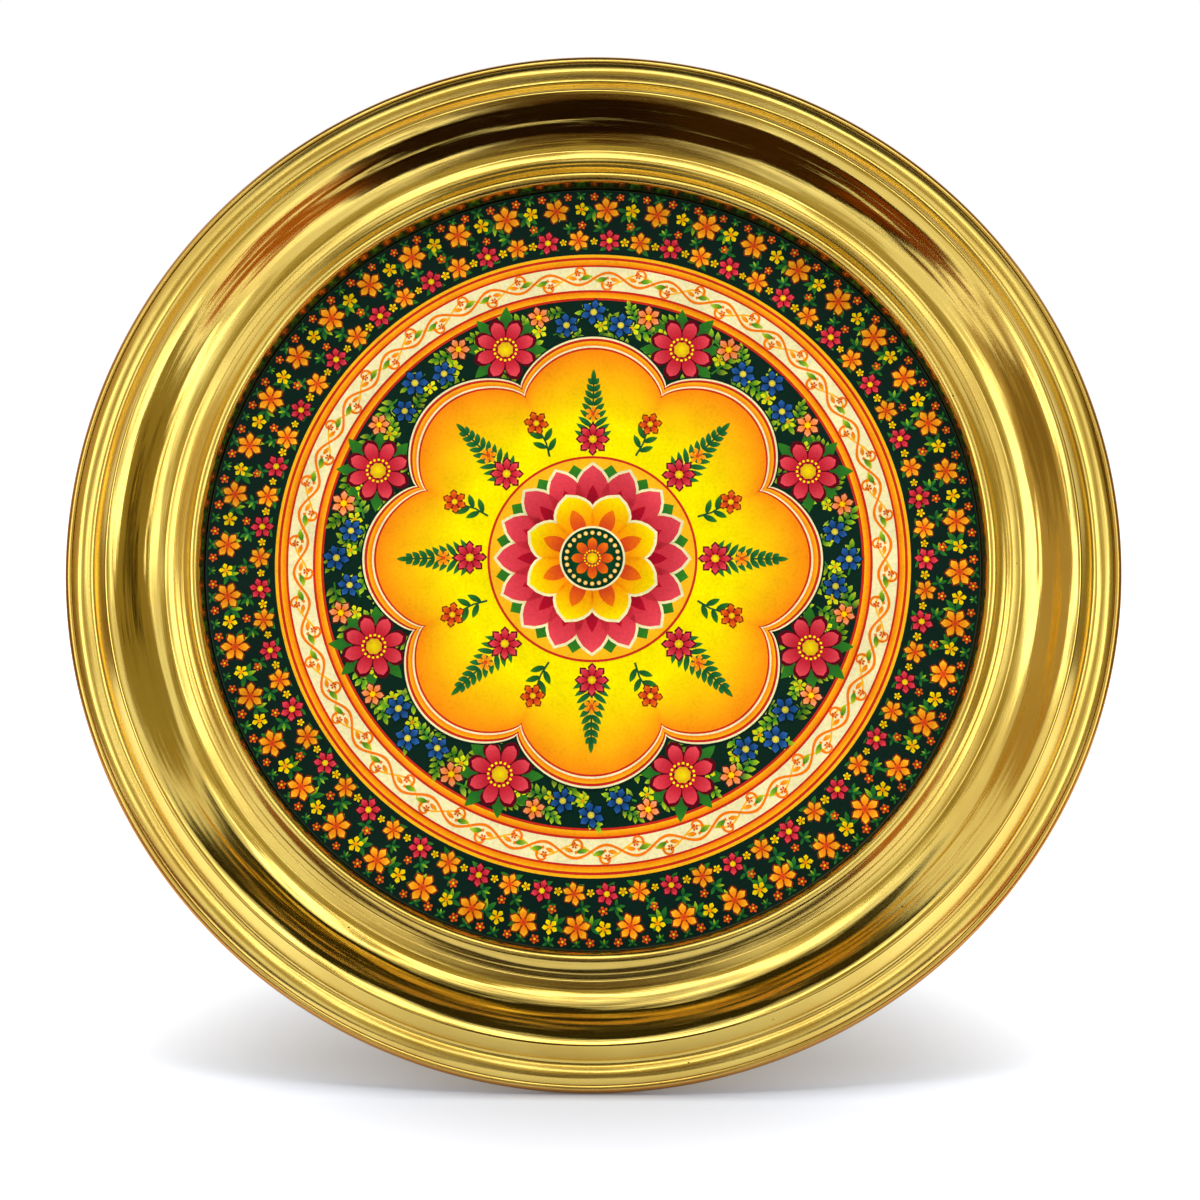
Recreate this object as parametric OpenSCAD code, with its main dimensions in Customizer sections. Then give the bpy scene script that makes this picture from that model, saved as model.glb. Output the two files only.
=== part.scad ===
// Round brass picture plate, standing on its rolled rim and a folding strut.
// It is drawn upright about its own middle, y running from front to back, then leant back on to the floor.

/* [Plate] */
// Diameter over the rolled hem
plate_d = 305; // [270:1:340]
// Thickness of the spun brass sheet
sheet_t = 0.8; // [0.6:0.05:1]
// Angle that the plate leans back from upright
lean_deg = 20; // [17:1:24]

/* [Rim] */
// Diameter of the hem rolled round its wire
hem_d = 3; // [2.8:0.1:4]
// Radius of the shallow bead inside the hem
bead_r = 4.2; // [3.6:0.1:5]
// Radius of the hollow between the bead and the ridge
hollow_r = 1.6; // [1:0.1:2.5]
// Length of the straight slope up to the ridge
ridge_slope_l = 5; // [4:0.1:5.6]
// Radius of the ridge, which is the front of the plate
ridge_r = 0.9; // [0.85:0.05:1.4]

/* [Cove] */
// Radius of the shoulder inside the ridge
shoulder_r = 7.5; // [6:0.1:9]
// Length of the cove's conical wall
cone_l = 6.6; // [5:0.1:9]
// Radius of the hollow at the foot of the cone
cove_r = 11; // [9:0.1:13]
// Length of the narrow band that rises from the hollow to the lip
band_l = 2.3; // [1:0.1:4]

/* [Lip and well] */
// Length of the slope outside the lip
lip_slope_l = 1.5; // [1:0.1:2]
// Radius of the lip round the picture
lip_r = 2; // [1.8:0.1:2.6]
// Depth of the well's floor below the ridge
well_depth = 16.1; // [15:0.1:18]

/* [Picture] */
// Thickness of the enamelled picture disc
disc_t = 1.2; // [0.8:0.1:1.8]
// Thickness of the foam pad that holds it
pad_t = 1; // [0.9:0.1:1.5]
// Gap round the picture disc
disc_gap = 0.25; // [0.15:0.05:0.5]

/* [Strut] */
// Height of the strut's hinge above the middle of the plate
hinge_up = 30; // [20:1:40]
// Angle between the open strut and the plate
open_deg = 32; // [28:1:36]
// Width of the strut's stem
stem_w = 36; // [30:1:42]
// Width of the strut's foot
foot_w = 62; // [52:1:72]
// Radius of the arch between the toes
arch_r = 13; // [9:1:16]
// Thickness of the strut's sheet
strut_t = 1.5; // [1.2:0.1:2]
// Length of the stem above the flare, below the hinge
stem_l = 88; // [76:1:100]
// Diameter of the hinge pin
pin_d = 3; // [2.5:0.1:3.4]

/* [Hinge bracket] */
// Thickness of the bracket's sheet
bracket_t = 1.2; // [1:0.1:1.4]
// Height of the pin above the back of the plate
pin_stand = 6; // [5.8:0.1:7]
// Width of each riveted wing
wing_w = 9; // [8:0.5:12]
// Height of the bracket's base
bracket_h = 28; // [24:1:34]
// Diameter of the rivets
rivet_d = 3; // [2.4:0.1:3.4]

/* [Hanger] */
// Height of the hanger's hinge above the middle of the plate
hanger_up = 80; // [76:1:84]
// Radius of the hole in the hanging tab
eye_r = 4; // [3:0.5:5]
// Width of brass round the hole
eye_wall = 5; // [4:0.5:6]
// Thickness of the tab
tab_t = 1.6; // [1.2:0.1:2]
// Distance from the tab's hinge to its hole
tab_l = 17; // [15:1:20]
// Diameter of the tab's pin
tab_pin_d = 2; // [1.6:0.1:2.4]

/* [Hidden] */
$fn = 96;

// Clearances and one overrun for every cut
fit_gap = 0.05;
turn_gap = 0.1;
side_gap = 0.4;
stop_gap = 0.1;
cut = 1;

// Slopes of the face: positive faces inwards
hem_side_deg = -42;
bead_side_deg = 30;
ridge_out_deg = -48;
ridge_in_deg = 15;
cone_deg = 44;
band_deg = -16;
lip_side_deg = -35;

// Rim: a profile point is [radius, depth]; the ridge's crest is the front, at depth 0
rim_r = plate_d / 2;
hem_r = hem_d / 2;
hem_c = rim_r - hem_r;
hem_seat = 0.15;
hem_turn_deg = 28;
hem_lap = (hem_r - hem_seat) * sin(hem_turn_deg);
bump_run = bead_r * (sin(bead_side_deg) - sin(hem_side_deg));
hollow_run = hollow_r * (sin(bead_side_deg) - sin(ridge_out_deg));
slope_run = ridge_slope_l * cos(ridge_out_deg);
ridge_run = -ridge_r * sin(ridge_out_deg);
ridge_at = [hem_c - hem_lap - bump_run - hollow_run - slope_run - ridge_run, ridge_r];
slope_end = ridge_at + ridge_r * swell(ridge_out_deg) - ridge_slope_l * inwards(ridge_out_deg);
hollow_at = slope_end + hollow_r * swell(ridge_out_deg);
bead_at = hollow_at - (hollow_r + bead_r) * swell(bead_side_deg);
bead_end = bead_at + bead_r * swell(hem_side_deg);
hem_y = bead_end[1] + (hem_r - hem_seat) * cos(hem_turn_deg);

// Cove, lip and well, from the ridge inwards
shoulder_at = ridge_at - (shoulder_r - ridge_r) * swell(ridge_in_deg);
cone_end = shoulder_at + shoulder_r * swell(cone_deg) + cone_l * inwards(cone_deg);
cove_at = cone_end + cove_r * swell(cone_deg);
band_end = cove_at - cove_r * swell(band_deg) + band_l * inwards(band_deg);
lip_at = band_end + lip_slope_l * inwards(lip_side_deg) - lip_r * swell(lip_side_deg);
corner_r = 1;
wall_run = 0.5;
well_r = lip_at[0] - lip_r - wall_run;
floor_y = well_depth;
back_y = floor_y + sheet_t;
corner_steps = 6;
round_steps = 12;

// Picture and pad
disc_y = floor_y - pad_t - disc_t;
disc_r = well_r - disc_gap;
pad_r = well_r - corner_r - disc_gap;

// Rivets: a flat head in the pad's relief hole, a domed tail behind
rivet_r = rivet_d / 2;
rivet_head_r = 1.85 * rivet_r;
rivet_head_t = 0.7;
rivet_relief = 0.6;
rivet_dome_r = 1.75 * rivet_r;
rivet_dome_h = 1.1 * rivet_r;

// Hinge bracket
ear_t = bracket_t;
ear_in = stem_w / 2 + side_gap;
ear_out = ear_in + ear_t;
base_w = 2 * (ear_out + wing_w);
pin_r = pin_d / 2;
pin_head_r = 1.7 * pin_r;
pin_head_t = 0.8 * pin_r;
ear_r = pin_r + 2.4;
rivet_x = ear_out + wing_w / 2;
rivet_z = bracket_h / 2 - wing_w / 2;
bracket_round = 3;

// Strut: z runs up the leg from its pin, y away from the plate
flange_t = strut_t;
web_y = pin_r;
flange_front = pin_stand - bracket_t - bracket_t;
heel_h = 9;
flange_full_share = 0.55;
flange_full_l = flange_full_share * stem_l;
flange_end_l = stem_l - 2;
foot_h = 16;
flare_steps = 12;
rib_r = 4;
rib_h = 1.2;
rib_top_share = 0.2;
rib_end_share = 0.82;

// Hanger
tab_pin_r = tab_pin_d / 2;
knuckle_r = tab_pin_r + 1.3;
knuckle_w = 9;
tab_side_gap = 0.4;
tab_ear_t = 1.2;
tab_ear_in = knuckle_w / 2 + tab_side_gap;
tab_ear_out = tab_ear_in + tab_ear_t;
tab_stand = bracket_t + knuckle_r + 0.5;
tab_ear_r = knuckle_r + 0.6;
hanger_h = 12;
hanger_wing = 12;
hanger_w = 2 * (tab_ear_out + hanger_wing);
hanger_rivet_x = tab_ear_out + hanger_wing / 2;
tab_pin_head_r = 1.8 * tab_pin_r;
tab_pin_head_t = 0.8 * tab_pin_r;

// How the leant plate meets the floor
rise = hem_r + hem_y * sin(lean_deg) + hem_c * cos(lean_deg);
leg_lean = open_deg - lean_deg;
pivot_y = back_y + pin_stand;
pivot_up = rise - pivot_y * sin(lean_deg) + hinge_up * cos(lean_deg);
pivot_back = pivot_y * cos(lean_deg) + hinge_up * sin(lean_deg);
tab_y = back_y + tab_stand;
leg_l = pivot_up / cos(leg_lean);
ridge_reach = ridge_at[1] * cos(lean_deg) - ridge_at[0] * sin(lean_deg) - ridge_r;
hem_reach = hem_y * cos(lean_deg) - hem_c * sin(lean_deg) - hem_r;
bead_reach = bead_at[1] * cos(lean_deg) - bead_at[0] * sin(lean_deg) - bead_r;
front_reach = min(ridge_reach, bead_reach, hem_reach);
back_reach = pivot_back + (web_y + strut_t) / cos(leg_lean) + pivot_up * tan(leg_lean);
shift_y = -(front_reach + back_reach) / 2;

echo(strut_pivot = [0, shift_y + pivot_back, pivot_up]);
echo(tab_pivot = [
    0,
    shift_y + tab_y * cos(lean_deg) + hanger_up * sin(lean_deg),
    rise - tab_y * sin(lean_deg) + hanger_up * cos(lean_deg)
]);
echo(middle = [0, shift_y, rise], disc_y = disc_y, disc_r = disc_r, well_r = well_r);

module leant() translate([0, shift_y, rise]) rotate([-lean_deg, 0, 0]) children();

// The way a swelling surface faces at a slope, and the way along it towards the middle
function swell(deg) = [-sin(deg), -cos(deg)];
function inwards(deg) = [-cos(deg), sin(deg)];

function arc(c, r, from, to, steps) = [
    for (i = [0:steps])
        let (a = from + (to - from) * i / steps)
        c + r * swell(a)
];

// The spun face from the middle out to the hem, set back by t for the rear of the sheet
function spun_face(t) = concat(
    [[0, floor_y + t]],
    arc([well_r - corner_r, floor_y - corner_r], -corner_r - t, 0, 90, corner_steps),
    arc(lip_at, lip_r - t, 90, lip_side_deg, round_steps),
    [band_end - t * swell((lip_side_deg + band_deg) / 2)],
    arc(cove_at, -cove_r - t, band_deg, cone_deg, round_steps),
    arc(shoulder_at, shoulder_r - t, cone_deg, ridge_in_deg, corner_steps),
    arc(ridge_at, ridge_r - t, ridge_in_deg, ridge_out_deg, corner_steps),
    arc(hollow_at, -hollow_r - t, ridge_out_deg, bead_side_deg, corner_steps),
    arc(bead_at, bead_r - t, bead_side_deg, hem_side_deg, round_steps)
);

function reversed(list) = [for (i = [len(list) - 1:-1:0]) list[i]];

module ring_profile() {
    difference() {
        union() {
            polygon(concat(spun_face(0), reversed(spun_face(sheet_t))));
            translate([hem_c, hem_y]) circle(hem_r);
        }
        translate([hem_c, hem_y]) circle(hem_r - sheet_t);
    }
}

// Turns a profile about the plate's own axis
module spun() rotate([-90, 0, 0]) rotate_extrude() children();

// A flat piece standing against the back: x across, z up, t thick away from the plate
module slab(t) rotate([90, 0, 0]) translate([0, 0, -t]) linear_extrude(t) children();

// A flat piece across x, drawn in depth and height
module cheek(x, t) translate([x, 0, 0]) rotate([90, 0, 90]) linear_extrude(t) children();

module cross_rod(r, l) rotate([0, 90, 0]) cylinder(r = r, h = l, center = true);

module rod_back(r, from, to) translate([0, from, 0]) rotate([-90, 0, 0]) cylinder(r = r, h = to - from);

module rounded_sheet(w, h, r) {
    square([w - 2 * r, h], center = true);
    square([w, h - 2 * r], center = true);
    for (x = [-1, 1], z = [-1, 1]) translate([x * (w / 2 - r), z * (h / 2 - r)]) circle(r);
}

module at_hinge_rivets() {
    for (x = [-1, 1], z = [-1, 1]) translate([x * rivet_x, 0, hinge_up + z * rivet_z]) children();
}

module at_hanger_rivets() for (x = [-1, 1]) translate([x * hanger_rivet_x, 0, hanger_up]) children();

module rivet() {
    rod_back(rivet_head_r, floor_y - rivet_head_t, floor_y);
    rod_back(rivet_r, floor_y - rivet_head_t, back_y + bracket_t + cut);
    dome_ball = (rivet_dome_r * rivet_dome_r + rivet_dome_h * rivet_dome_h) / (2 * rivet_dome_h);
    intersection() {
        translate([0, back_y + bracket_t + rivet_dome_h - dome_ball, 0]) sphere(dome_ball);
        rod_back(rivet_dome_r + cut, back_y + bracket_t, back_y + bracket_t + rivet_dome_h + cut);
    }
}

module ear(r, stand) {
    translate([stand, 0]) circle(r);
    translate([0, -r]) square([stand, 2 * r]);
}

module brass_plate() {
    color("goldenrod") leant() difference() {
        spun() ring_profile();
        at_hinge_rivets() rod_back(rivet_r + fit_gap, floor_y - cut, back_y + cut);
        at_hanger_rivets() rod_back(rivet_r + fit_gap, floor_y - cut, back_y + cut);
    }
}

module rim_wire() {
    color("gray") leant() spun() translate([hem_c, hem_y]) circle(hem_r - sheet_t - fit_gap);
}

module mounting_pad() {
    color("white") leant() difference() {
        rod_back(pad_r, floor_y - pad_t, floor_y);
        at_hinge_rivets() rod_back(rivet_head_r + rivet_relief, floor_y - pad_t - cut, floor_y + cut);
        at_hanger_rivets() rod_back(rivet_head_r + rivet_relief, floor_y - pad_t - cut, floor_y + cut);
    }
}

module picture_disc() color("darkgreen") leant() rod_back(disc_r, disc_y, disc_y + disc_t);

module hinge_bracket() {
    color("darkgoldenrod") leant() difference() {
        translate([0, back_y, hinge_up]) {
            slab(bracket_t) rounded_sheet(base_w, bracket_h, bracket_round);
            for (x = [-ear_out, ear_in]) cheek(x, ear_t) ear(ear_r, pin_stand);
        }
        at_hinge_rivets() rod_back(rivet_r + fit_gap, back_y - cut, back_y + bracket_t + cut);
        translate([0, pivot_y, hinge_up]) cross_rod(pin_r + fit_gap, base_w);
    }
}

module hinge_rivets() color("gold") leant() at_hinge_rivets() rivet();

module hinge_pin() {
    color("gold") leant() translate([0, pivot_y, hinge_up]) {
        cross_rod(pin_r, 2 * ear_out + pin_head_t);
        for (x = [-1, 1]) translate([x * (ear_out + pin_head_t / 2), 0, 0]) cross_rod(pin_head_r, pin_head_t);
    }
}

// Half the leg's width at a distance below its pin: a straight stem, then an ogee out to the foot
function leg_half(down) =
    let (u = min(1, max(0, (down - stem_l) / (leg_l - foot_h - stem_l))))
    stem_w / 2 + (foot_w - stem_w) / 2 * (1 - cos(180 * u)) / 2;

leg_downs = concat(
    [-heel_h, stem_l],
    [for (i = [1:flare_steps]) stem_l + (leg_l - foot_h - stem_l) * i / flare_steps],
    [leg_l + foot_h]
);

module leg_web() {
    slab(strut_t) difference() {
        polygon(concat(
            [for (s = leg_downs) [leg_half(s), -s]],
            reversed([for (s = leg_downs) [-leg_half(s), -s]])
        ));
        translate([0, -leg_l]) circle(arch_r);
    }
}

// A side flange, full depth by the hinge and drawn out to nothing where the stem flares
module leg_flange(x) {
    cheek(x, flange_t) polygon([
        [web_y + strut_t, heel_h],
        [-flange_front, heel_h],
        [-flange_front, -flange_full_l],
        [web_y, -flange_end_l],
        [web_y + strut_t, -flange_end_l]
    ]);
}

// A pressed rib down the middle of the web, round at both ends
module leg_rib() {
    intersection() {
        translate([0, web_y + strut_t + rib_h - rib_r, 0]) {
            translate([0, 0, -rib_end_share * leg_l]) cylinder(r = rib_r, h = (rib_end_share - rib_top_share) * leg_l);
            for (s = [rib_top_share, rib_end_share]) translate([0, 0, -s * leg_l]) sphere(rib_r);
        }
        translate([-rib_r, web_y + strut_t / 2, -leg_l]) cube([2 * rib_r, rib_r + strut_t, leg_l]);
    }
}

module leg_blank() {
    difference() {
        union() {
            translate([0, web_y, 0]) leg_web();
            for (x = [-stem_w / 2, stem_w / 2 - flange_t]) leg_flange(x);
            leg_rib();
        }
        cross_rod(pin_r + turn_gap, stem_w + 2 * cut);
    }
}

// The open leg: its heel is cut to lie on the bracket's base, and its toes to stand on the floor
module strut_leg() {
    color("goldenrod") difference() {
        leant() translate([0, pivot_y, hinge_up]) difference() {
            rotate([open_deg, 0, 0]) leg_blank();
            translate([-stem_w, bracket_t + stop_gap - pin_stand - stem_w, -stem_w]) cube([2 * stem_w, stem_w, 2 * stem_w]);
        }
        translate([-foot_w, -plate_d, -2 * foot_h]) cube([2 * foot_w, 2 * plate_d, 2 * foot_h]);
    }
}

module hanger_bracket() {
    color("darkgoldenrod") leant() difference() {
        translate([0, back_y, hanger_up]) {
            slab(bracket_t) rounded_sheet(hanger_w, hanger_h, bracket_round);
            for (x = [-tab_ear_out, tab_ear_in]) cheek(x, tab_ear_t) ear(tab_ear_r, tab_stand);
        }
        at_hanger_rivets() rod_back(rivet_r + fit_gap, back_y - cut, back_y + bracket_t + cut);
        translate([0, tab_y, hanger_up]) cross_rod(tab_pin_r + fit_gap, hanger_w);
    }
}

module hanger_rivets() color("gold") leant() at_hanger_rivets() rivet();

module hanger_pin() {
    color("gold") leant() translate([0, tab_y, hanger_up]) {
        cross_rod(tab_pin_r, 2 * tab_ear_out + tab_pin_head_t);
        for (x = [-1, 1]) {
            translate([x * (tab_ear_out + tab_pin_head_t / 2), 0, 0]) cross_rod(tab_pin_head_r, tab_pin_head_t);
        }
    }
}

// The tab hangs plumb from its pin, whatever the lean
module hanging_tab() {
    color("goldenrod") leant() translate([0, tab_y, hanger_up]) rotate([lean_deg, 0, 0]) difference() {
        union() {
            cross_rod(knuckle_r, knuckle_w);
            translate([0, -tab_t / 2, 0]) slab(tab_t) {
                translate([0, -tab_l]) circle(eye_r + eye_wall);
                translate([-knuckle_w / 2, -tab_l]) square([knuckle_w, tab_l]);
            }
        }
        cross_rod(tab_pin_r + turn_gap, knuckle_w + 2 * cut);
        translate([0, 0, -tab_l]) rod_back(eye_r, -tab_t, tab_t);
    }
}

brass_plate();
rim_wire();
mounting_pad();
picture_disc();
hinge_bracket();
hinge_rivets();
hinge_pin();
strut_leg();
hanger_bracket();
hanger_rivets();
hanger_pin();
hanging_tab();
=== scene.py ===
import math
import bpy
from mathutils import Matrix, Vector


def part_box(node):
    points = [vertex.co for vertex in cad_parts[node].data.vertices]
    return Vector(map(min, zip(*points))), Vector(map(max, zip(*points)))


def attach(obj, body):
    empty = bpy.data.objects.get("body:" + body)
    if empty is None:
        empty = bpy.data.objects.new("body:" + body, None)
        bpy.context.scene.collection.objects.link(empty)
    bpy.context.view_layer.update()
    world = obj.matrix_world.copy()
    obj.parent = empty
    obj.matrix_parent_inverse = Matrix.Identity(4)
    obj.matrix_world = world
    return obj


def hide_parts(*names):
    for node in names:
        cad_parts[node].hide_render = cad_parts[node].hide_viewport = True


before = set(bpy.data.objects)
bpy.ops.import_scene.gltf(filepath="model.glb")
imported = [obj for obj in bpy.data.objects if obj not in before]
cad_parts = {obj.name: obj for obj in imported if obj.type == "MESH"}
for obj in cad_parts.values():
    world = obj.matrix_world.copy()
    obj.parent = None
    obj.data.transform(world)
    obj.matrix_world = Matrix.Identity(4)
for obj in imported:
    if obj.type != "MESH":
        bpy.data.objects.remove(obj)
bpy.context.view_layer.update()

from types import SimpleNamespace

import bpy
from mathutils import Matrix, Vector

mm = 0.001

# sizes of the plate in millimetres and slopes in degrees, the same as in the CAD source where that has them
plate = {
    "diameter": 305.0,
    "sheet": 0.8,
    "lean": 20.0,
    "hemDiameter": 3.0,
    "hemSeat": 0.15,
    "hemTurn": 28.0,
    "hemRoll": (20.0, -290.0),  # slopes where the hem's roll starts and ends
    "beadRadius": 4.2,
    "beadTuck": (6.0, 4.0),  # degrees that the bead's face and back run on into the hem
    "hollowRadius": 1.6,
    "ridgeSlope": 5.0,
    "ridgeRadius": 0.9,
    "shoulderRadius": 7.5,
    "coneLength": 6.6,
    "coveRadius": 11.0,
    "bandLength": 2.3,
    "lipSlope": 1.5,
    "lipRadius": 2.0,
    "wallRun": 0.5,
    "wellCorner": 1.0,
    "wellDepth": 16.1,
    # slopes of the hem's side, the bead's inner side, both sides of the ridge, the cone, the band and the lip's
    # outer side; a positive slope faces inwards
    "slopes": (-42, 30, -48, 15, 44, -16, -35),
    "lineSpacing": 0.62,  # fine turned lines on the band and the inner cove, which the CAD source leaves out
    "lineCount": 14,
    "lineDepths": (0.0, 0.008, 0.014, 0.004),
    "grooves": (1.75, 3.3, 3.6, 6.1),  # where narrow grooves lie, from the lip towards the cove
    "grooveHalf": 0.11,
    "grooveDepth": 0.05,
    "pole": 0.02,  # the profile stops this far from the axis, so that no face closes on a point
    "turns": 480,
}

picture = {
    "face": 13.9,  # depth of the painted face behind the ridge
    "thickness": 1.2,
    "layer": 0.02,  # height of one layer of paint
}


def linear(colour):
    # an sRGB hex value as the linear colour that shaders read
    parts = [int(colour[i:i + 2], 16) / 255 for i in (1, 3, 5)]
    return [v / 12.92 if v <= 0.04045 else ((v + 0.055) / 1.055) ** 2.4 for v in parts] + [1.0]


def addNode(tree, kind, inputs=None, **settings):
    # adds a node, sets its properties, then sets or links its inputs
    node = tree.nodes.new(kind)
    for name, value in settings.items():
        setattr(node, name, value)
    for name, value in (inputs or {}).items():
        if isinstance(value, bpy.types.NodeSocket):
            tree.links.new(value, node.inputs[name])
        else:
            node.inputs[name].default_value = value
    return node


def newMaterial(name):
    material = bpy.data.materials.new(name)
    material.use_nodes = True
    material.node_tree.nodes.clear()
    return material, material.node_tree


def finishMaterial(tree, shader):
    addNode(tree, "ShaderNodeOutputMaterial", {"Surface": shader.outputs[0]})


def linkObject(name, mesh):
    piece = bpy.data.objects.new(name, mesh)
    bpy.context.scene.collection.objects.link(piece)
    return piece


# the plate's own frame: x right, y from front to back, z up its face
lowest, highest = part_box("picture_disc")
leanTurn = Matrix.Rotation(math.radians(-plate["lean"]), 4, "X")
discMiddle = Vector((0, (picture["face"] + picture["thickness"] / 2) * mm, 0))
plateMiddle = (lowest + highest) / 2 - leanTurn.to_3x3() @ discMiddle
plateFrame = Matrix.Translation(plateMiddle) @ leanTurn
faceUp = Matrix.Rotation(math.radians(90), 4, "X")


def plateCoordinates(tree):
    # object coordinates moved and turned into the plate's own frame, in millimetres
    coordinates = addNode(tree, "ShaderNodeTexCoord")
    back = Matrix.Rotation(math.radians(plate["lean"]), 3, "X")
    moved = addNode(tree, "ShaderNodeMapping", {
        "Vector": coordinates.outputs["Object"],
        "Scale": (1000, 1000, 1000),
        "Rotation": (math.radians(plate["lean"]), 0, 0),
        "Location": back @ plateMiddle * -1000,
    })
    return moved.outputs[0]


def brassColour(tree, clean, dull, vector, scale, amount):
    # brass that goes a little duller in soft patches
    patches = addNode(tree, "ShaderNodeTexNoise", {"Vector": vector, "Scale": scale, "Detail": 4.0})
    spread = addNode(tree, "ShaderNodeMapRange", {
        "Value": patches.outputs[0], "From Min": 0.35, "From Max": 0.75, "To Max": amount,
    })
    mixed = addNode(tree, "ShaderNodeMix", {
        0: spread.outputs[0], 6: linear(clean), 7: linear(dull),
    }, data_type="RGBA")
    return mixed.outputs[2]


def ringCoordinates(tree, place, roundDetail, acrossDetail):
    # a seamless vector on the turned ring: roundDetail steps over a radian, acrossDetail steps over a millimetre
    parts = addNode(tree, "ShaderNodeSeparateXYZ", {0: place})
    flat = addNode(tree, "ShaderNodeCombineXYZ", {0: parts.outputs[0], 1: parts.outputs[2], 2: 0.0})
    radius = addNode(tree, "ShaderNodeVectorMath", {0: flat.outputs[0]}, operation="LENGTH")
    way = addNode(tree, "ShaderNodeVectorMath", {0: flat.outputs[0]}, operation="NORMALIZE")
    wayScaled = addNode(tree, "ShaderNodeVectorMath", {0: way.outputs[0], "Scale": roundDetail}, operation="SCALE")
    across = addNode(tree, "ShaderNodeMath", {0: radius.outputs["Value"], 1: parts.outputs[1]}, operation="SUBTRACT")
    acrossScaled = addNode(tree, "ShaderNodeMath", {0: across.outputs[0], 1: acrossDetail}, operation="MULTIPLY")
    height = addNode(tree, "ShaderNodeCombineXYZ", {2: acrossScaled.outputs[0]})
    both = addNode(tree, "ShaderNodeVectorMath", {0: wayScaled.outputs[0], 1: height.outputs[0]}, operation="ADD")
    return both.outputs[0]


# colours in sRGB, depths in millimetres, zones as radii on the plate in millimetres
spunFinish = {
    "clean": "#E8CC6C",
    "dull": "#D0AA4C",
    "back": "#D0AC5A",
    # colour of the painted shade on the hem, standing in for its reflection of the shadowed floor
    "hemShade": "#A8652C",
    "speck": "#5A431C",
    "polished": (0.08, 0.17),  # roughness between the turned lines and on them
    "backRougher": 0.1,
    "brushedRougher": 0.1,
    "bandZone": (122.0, 126.0),
    "rimZone": (139.5, 142.0),
    # radii where the painted copper-brown shade on the hem lies
    "hemShadeZone": (150.9, 151.8),
    "waveZone": (10.0, 80.0),
    "lineDepth": 0.028,
    "waveDepth": 1.1,
    "pitDepth": 0.04,
}


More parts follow.
